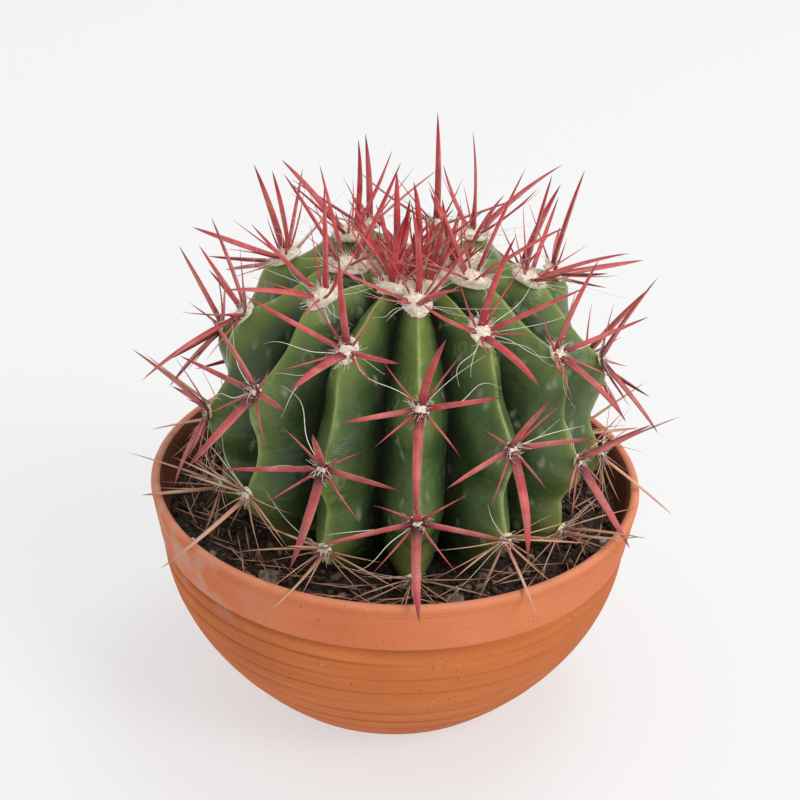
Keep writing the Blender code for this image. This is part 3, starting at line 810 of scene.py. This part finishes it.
def in_the_way(point, margin):
    """Whether a point is in the stem, the soil or the bowl's wall, or closer than a margin."""
    around = point.xy.length
    if point.z < SOIL_TOP + margin and around < RIM_RADIUS:
        return True
    over_wall = wall_radius(max(point.z, SOIL_TOP)) - margin < around < RIM_RADIUS + margin
    if over_wall and point.z < BOWL_HEIGHT + margin:
        return True
    place, normal, _, away = stem_tree.find_nearest(point)
    return away < margin or (point - place).dot(normal) < 0.0


def curved(root, direction, bend, length, rings):
    """Points along a spine that sets out in one direction and bends more and more."""
    points = []
    for index in range(rings + 1):
        share = index / rings
        points.append(root + direction * (length * index / rings) + bend * (length * share**2))
    return points


def grow_spine(shape, root, direction, escape, out, bend, length, width, flatness, age, broad):
    """Draws one spine out of a cushion, swung towards its way of escape or shortened until clear."""
    rings = CENTRAL_RINGS if broad else SLIM_RINGS
    wanted = direction.copy()
    for _ in range(SPINE_TRIES):
        points = curved(root, direction, bend, length, rings)
        tested = points[rings // 5 :: max(rings // 10, 1)]
        if not any(in_the_way(point, width / 2 * 0.8) for point in tested):
            break
        if direction.angle(escape) > math.radians(SWUNG_DEGREES):
            axis = direction.cross(escape).normalized()
            direction = Matrix.Rotation(math.radians(SWING_DEGREES), 3, axis) @ direction
        else:
            direction = wanted.copy()
            length *= SHORTENING
    widths = []
    for index in range(rings + 1):
        share = index / rings
        taper = (1.0 - share**3.2) ** 0.9 if broad else (1.0 - share) ** 0.75
        foot = 1.0 + 0.35 * math.exp(-share * length / 0.0025)
        ring = 1.0 + 0.035 * math.sin(math.tau * share * length / RING_PITCH) if broad else 1.0
        widths.append(max(width * taper * foot * ring, 0.00012))
    draw_out(shape, RINGED_ROD if broad else SLIM_ROD, rings, points, out, widths, flatness, age)


def lay_bristle(shape, root, direction, out, chance, length, width):
    """Draws one white bristle out of a cushion, wavy and lying on whatever is below it."""
    rings = SLIM_RINGS
    side = out.cross(direction).normalized()
    swing = chance.uniform(0.05, 0.16) * length
    waves = chance.uniform(0.3, 1.1) * math.tau
    phase = chance.uniform(0.0, math.tau)
    sag = chance.uniform(-0.10, 0.25)
    points = []
    for index in range(rings + 1):
        share = index / rings
        wave = swing * share * (math.sin(phase + waves * share) - math.sin(phase))
        point = root + direction * (length * share) + side * wave - out * (sag * length * share**2)
        skin_above = stem_tree.ray_cast(point + out * 0.030, -out, 0.030)[0]
        if skin_above:
            point = skin_above + out * (width * 1.5)
        if point.xy.length < RIM_RADIUS + 0.004:
            point.z = max(point.z, SOIL_TOP + 0.001)
            if point.xy.length > wall_radius(SOIL_TOP) - 0.002:
                point.z = max(point.z, BOWL_HEIGHT + 0.001)
        points.append(point)
    widths = [max(width * (1.0 - (index / rings) ** 2) ** 0.7, 0.0001) for index in range(rings + 1)]
    draw_out(shape, THREAD_ROD, rings, points, out, widths, 0.6, 0.0)


def add_felt(shape, centre, down, side, out, half_length, half_width, height, fibres, chance):
    """A lumpy dome of felt with short curly fibres standing out of it."""
    dome_first = len(shape.verts)
    shape.from_mesh(DOME)
    layers = shape.verts.layers.float
    for vertex in shape.verts[dome_first:]:
        x, y, z = vertex.co
        narrow = 1.0 - 0.45 * max(x, 0.0) ** 2
        lump = 1.0 + 0.22 * noise.noise(vertex.co * 2.6 + centre * 400.0)
        lump += 0.10 * noise.noise(vertex.co * 7.0)
        low, wide = x * half_length * lump, y * half_width * lump * narrow
        high = max(z, -0.35) * height * lump
        vertex.co = centre + down * low + side * wide + out * high
        vertex[layers["share"]] = max(z, 0.0)
    for _ in range(fibres):
        bearing = chance.uniform(0.0, math.tau)
        lift = math.asin(chance.uniform(0.05, 1.0))
        x, y, z = math.cos(bearing) * math.cos(lift), math.sin(bearing) * math.cos(lift), math.sin(lift)
        low, wide, high = x * half_length * 0.9, y * half_width * 0.9, z * height * 0.9
        root = centre + down * low + side * wide + out * high
        away = (down * x + side * y + out * (z + 0.5)).normalized()
        curl = down * chance.uniform(-1, 1) + side * chance.uniform(-1, 1)
        curl = (curl + out * chance.uniform(-0.6, 0.4)) * 0.9
        length = chance.uniform(0.0018, 0.0042)
        points = curved(root, away, curl, length, FIBRE_RINGS)
        widths = [0.00042 * (1.0 - 0.7 * index / FIBRE_RINGS) for index in range(FIBRE_RINGS + 1)]
        draw_out(shape, FIBRE_ROD, FIBRE_RINGS, points, side, widths, 1.0, chance.random())


def horn_material(name, base, red, pale, tip, band, fresh):
    """Ringed horn: dark at the foot and the tip, pale between, banded across every millimetre."""
    material, tree, shader = start_material(name, 0.5)
    place = object_place(tree)
    share = attribute(tree, "share")
    colour = shades(tree, share, [(0.05, base), (0.20, red), (0.48, pale), (0.80, red), (0.95, tip)])
    fresh_stops = [(0.0, (0.30, 0.015, 0.025)), (0.35, fresh), (0.80, fresh), (0.97, tip)]
    fresh_colour = shades(tree, share, fresh_stops)
    colour = mixed(tree, product(tree, attribute(tree, "age"), 0.85), colour, fresh_colour)
    vary = shades(tree, grain(tree, place, 70.0, 4.0), [(0.3, (0.34, 0.34, 0.34)), (0.7, (0.66, 0.66, 0.66))])
    colour = mixed(tree, 0.8, colour, vary, "OVERLAY")
    wave = put(tree, "Math")
    wave.operation = "SINE"
    turns = product(tree, attribute(tree, "reach"), math.tau * 0.01 / RING_PITCH)
    tree.links.new(turns, wave.inputs[0])
    patchy = between(tree, grain(tree, place, 160.0, 3.0), 0.38, 0.62)
    bands = product(tree, between(tree, wave.outputs["Value"], -0.2, 0.9), patchy)
    off_the_ends = product(tree, between(tree, share, 0.90, 0.60), between(tree, share, 0.06, 0.20))
    bands = product(tree, bands, off_the_ends)
    colour = mixed(tree, product(tree, bands, 0.26), colour, band)
    rim = product(tree, between(tree, attribute(tree, "edge"), 0.60, 1.0), 0.24)
    colour = mixed(tree, product(tree, rim, between(tree, share, 0.02, 0.15)), colour, band)
    tree.links.new(colour, shader.inputs["Base Color"])
    roughened(tree, shader, wave.outputs["Value"], 0.35, 0.0002)
    return material


red_horn = horn_material(
    "red_horn",
    base=(0.050, 0.008, 0.010),
    red=(0.40, 0.035, 0.042),
    pale=(0.48, 0.105, 0.088),
    tip=(0.17, 0.03, 0.03),
    band=(0.82, 0.60, 0.48),
    fresh=(0.56, 0.026, 0.042),
)
straw_horn = horn_material(
    "straw_horn",
    base=(0.30, 0.10, 0.06),
    red=(0.56, 0.24, 0.14),
    pale=(0.68, 0.40, 0.26),
    tip=(0.26, 0.14, 0.09),
    band=(0.78, 0.64, 0.48),
    fresh=(0.52, 0.25, 0.14),
)
white_horn, tree, shader = start_material("white_bristle", 0.45)
bristle_colours = [(0.0, (0.80, 0.68, 0.54)), (0.2, (0.90, 0.86, 0.76)), (1.0, (0.86, 0.80, 0.68))]
colour = shades(tree, attribute(tree, "share"), bristle_colours)
tinge = between(tree, grain(tree, object_place(tree), 60.0, 2.0), 0.58, 0.70)
colour = mixed(tree, product(tree, tinge, 0.20), colour, (0.66, 0.30, 0.22))
tree.links.new(colour, shader.inputs["Base Color"])
wool, tree, shader = start_material("felt", 0.95)
shader.inputs["Sheen Weight"].default_value = 0.3
tufts = grain(tree, object_place(tree), 520.0, 5.0)
felt_colours = [(0.3, (0.80, 0.66, 0.50)), (0.5, (0.93, 0.84, 0.70)), (0.8, (0.97, 0.93, 0.86))]
colour = shades(tree, tufts, felt_colours)
tree.links.new(colour, shader.inputs["Base Color"])
roughened(tree, shader, tufts, 0.8, 0.0008)


def youth(distance):
    """1 at the edge of the crown, 0 where the spines have settled."""
    return min(max((SPINE_SETTLES - distance) / (SPINE_SETTLES - CROWN_ZONE), 0.0), 1.0)


def areole_axes(rib, distance):
    """Centre of an areole, and its directions down the rib, to the right and out of the skin."""
    thickness = crest_point(read_off(distance, CREST_DISTANCES, CREST_POLARS))[0] / STEM_RADIUS
    centre = on_stem(rib, distance, chin(distance, AREOLES[rib]) * thickness**0.8)
    down = (on_stem(rib, distance + 0.001, 0.0) - on_stem(rib, max(distance - 0.001, 0.0), 0.0)).normalized()
    out = (on_stem(rib, distance, 0.001) - on_stem(rib, distance, 0.0)).normalized()
    return centre, down, out.cross(down), out


def fill_areole(spines, felt, bristles, rib, distance):
    """Puts one areole's spines, felt and bristles into three shapes."""
    chance = random.Random(rib * 1000 + round(distance * 1000))
    centre, down, side, out = areole_axes(rib, distance)
    young = youth(distance)
    old = distance > OLD_ZONE
    escape = (out + Vector((0.0, 0.0, 0.7))).normalized()
    newborn = distance <= CROWN_ZONE
    central = CENTRAL_LENGTH + YOUNG_EXTRA * young
    if newborn:
        central = NEWBORN_LENGTH + NEWBORN_EXTRA * distance / CROWN_ZONE
    stout = OLD_STOUTNESS if old else 1.0 - 0.25 * young
    # Bearing and lift in degrees, length, width, whether it is flat and ringed, and its curve.
    rows = [
        (0, 28, central * 1.16, 0.0052, True, -0.14),
        (90, 14, central * 0.95, 0.0031, True, 0.06),
        (-90, 14, central * 0.95, 0.0031, True, 0.06),
        (180, 44, central * (1.02 - 0.12 * young), 0.0044, True, 0.10),
        (42, 16, central * 0.66, 0.0018, False, -0.06),
        (-42, 16, central * 0.66, 0.0018, False, 0.08),
        (138, 20, central * 0.66, 0.0017, False, 0.08),
        (-138, 20, central * 0.66, 0.0017, False, 0.08),
    ]
    if old:
        for bearing in (-75, -30, 15, 55, 105, -110):
            rows.append((bearing, 8, central * 0.85, 0.0022, False, -0.08))
    half_length, half_width, height = (a + b * young for a, b in zip(FELT_SIZE, FELT_YOUNG_EXTRA))
    for bearing, lift, length, width, broad, curve in rows:
        bearing = math.radians(bearing + chance.uniform(-9, 9) * (1.0 + young))
        lift = math.radians(lift + chance.uniform(-5, 6) * (1.0 + 1.5 * young) + 30 * young)
        around = down * math.cos(bearing) + side * math.sin(bearing)
        direction = around * math.cos(lift) + out * math.sin(lift)
        bend = out * (curve * chance.uniform(0.3, 1.6)) + side * chance.uniform(-0.12, 0.12) * (1.0 + young)
        root = centre + around * (half_width * 0.45) + out * (height * 0.35)
        length *= chance.uniform(0.88, 1.10)
        width *= stout
        flatness = 0.5 if broad else 0.8
        fresh = min(young + 0.5 * chance.random(), 1.0)
        grow_spine(spines, root, direction, escape, out, bend, length, width, flatness, fresh, broad)
    for _ in range(2 if newborn else round(2 + 7 * young)):
        bearing = math.radians(chance.choice((-1, 1)) * chance.uniform(20, 150))
        lift = math.radians(chance.uniform(0, 14) + 20 * young)
        around = down * math.cos(bearing) + side * math.sin(bearing)
        direction = around * math.cos(lift) + out * math.sin(lift)
        root = centre + around * (half_width * 0.6) + out * (height * 0.2)
        width = chance.uniform(0.0003, 0.0006) * (1.0 - 0.4 * young)
        lay_bristle(bristles, root, direction, out, chance, chance.uniform(0.022, 0.046), width)
    add_felt(felt, centre, down, side, out, half_length, half_width, height, round(60 + 110 * young), chance)


for rib, distances in AREOLES.items():
    number = 0
    for distance in distances:
        if distance <= CROWN_ZONE:
            continue
        number += 1
        node = f"areole_rib{rib % RIBS + 1:02d}_{number}"
        spines, felt, bristles = new_spiny_shape(), new_spiny_shape(), new_spiny_shape()
        fill_areole(spines, felt, bristles, rib, distance)
        old = distance > OLD_ZONE
        for shape, name, material, slot in (
            (spines, "spines", straw_horn if old else red_horn, "dry_spines" if old else "spines"),
            (felt, "felt", wool, "felt"),
            (bristles, "bristles", white_horn, "felt"),
        ):
            piece = piece_from(shape, node.replace("areole", name), material)
            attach(piece, "root")
            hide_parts(node)

# ---- crown ----
# The growing point is sunk between the tops of the ribs. Its newest areoles touch, as one
# cap of cream wool, and their crimson spines stand in a thicket that hides the middle.

CROWN_SPINES = 16  # in the very middle, beside those of its areoles
WOOL_RADIUS = 0.020
WOOL_HEIGHT = 0.006
WOOL_FIBRES = 420

crown_spines, crown_felt, crown_bristles = new_spiny_shape(), new_spiny_shape(), new_spiny_shape()
for rib, distances in AREOLES.items():
    for distance in distances:
        if distance <= CROWN_ZONE:
            fill_areole(crown_spines, crown_felt, crown_bristles, rib, max(distance, 0.010))
chance = random.Random(29)
crown_middle = Vector((STEM_OFFSET_X, 0.0, crest_point(0.0)[1]))
east, north, up = Vector((1.0, 0.0, 0.0)), Vector((0.0, 1.0, 0.0)), Vector((0.0, 0.0, 1.0))
wool_sizes = (WOOL_RADIUS, WOOL_RADIUS, WOOL_HEIGHT)
add_felt(crown_felt, crown_middle, east, north, up, *wool_sizes, WOOL_FIBRES, chance)
for _ in range(CROWN_SPINES):
    bearing = chance.uniform(0.0, math.tau)
    around = Vector((math.cos(bearing), math.sin(bearing), 0.0))
    away = math.sqrt(chance.random())
    lean = math.radians(4 + 34 * away)
    direction = around * math.sin(lean) + up * math.cos(lean)
    root = crown_middle + around * (0.015 * away) + up * 0.002
    length = chance.uniform(0.020, 0.040)
    bend = around * chance.uniform(-0.14, 0.16)
    width = chance.uniform(0.0022, 0.0040)
    grow_spine(crown_spines, root, direction, up, around, bend, length, width, 0.5, 1.0, True)
for shape, name, material, slot in (
    (crown_spines, "crown_spines", red_horn, "spines"),
    (crown_felt, "crown_wool", wool, "felt"),
    (crown_bristles, "crown_bristles", white_horn, "felt"),
):
    piece = piece_from(shape, name, material)
    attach(piece, "root")
    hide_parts("crown")

# ---- straw litter ----
# Dry spines and needles that have fallen round the stem lie crossed on the soil, between the
# stem and the bowl. One that would reach into the bowl's wall is left out.

LITTER = 190
LITTER_INNER, LITTER_OUTER = 0.088, 0.108
litter_shape = new_spiny_shape()
chance = random.Random(71)
for _ in range(LITTER):
    angle = chance.uniform(0.0, math.tau)
    radius = chance.uniform(LITTER_INNER, LITTER_OUTER)
    height = SOIL_TOP + chance.uniform(0.0012, 0.006)
    middle = Vector((radius * math.cos(angle), radius * math.sin(angle), height))
    heading = angle + math.pi / 2 + chance.uniform(-0.9, 0.9)
    direction = Vector((math.cos(heading), math.sin(heading), chance.uniform(-0.05, 0.12))).normalized()
    length = chance.uniform(0.012, 0.034)
    root = middle - direction * (length / 2)
    bend = Vector((-direction.y, direction.x, 0.0)) * chance.uniform(-0.12, 0.12)
    points = curved(root, direction, bend, length, SLIM_RINGS)
    if any(point.xy.length > wall_radius(SOIL_TOP) - 0.0015 for point in points):
        continue
    width = chance.uniform(0.0005, 0.0010)
    widths = [max(width * (1.0 - (index / SLIM_RINGS) ** 2), 0.0002) for index in range(SLIM_RINGS + 1)]
    draw_out(litter_shape, SLIM_ROD, SLIM_RINGS, points, up, widths, 0.7, 0.0)
litter = piece_from(litter_shape, "straw_litter", straw_horn)
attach(litter, "root")
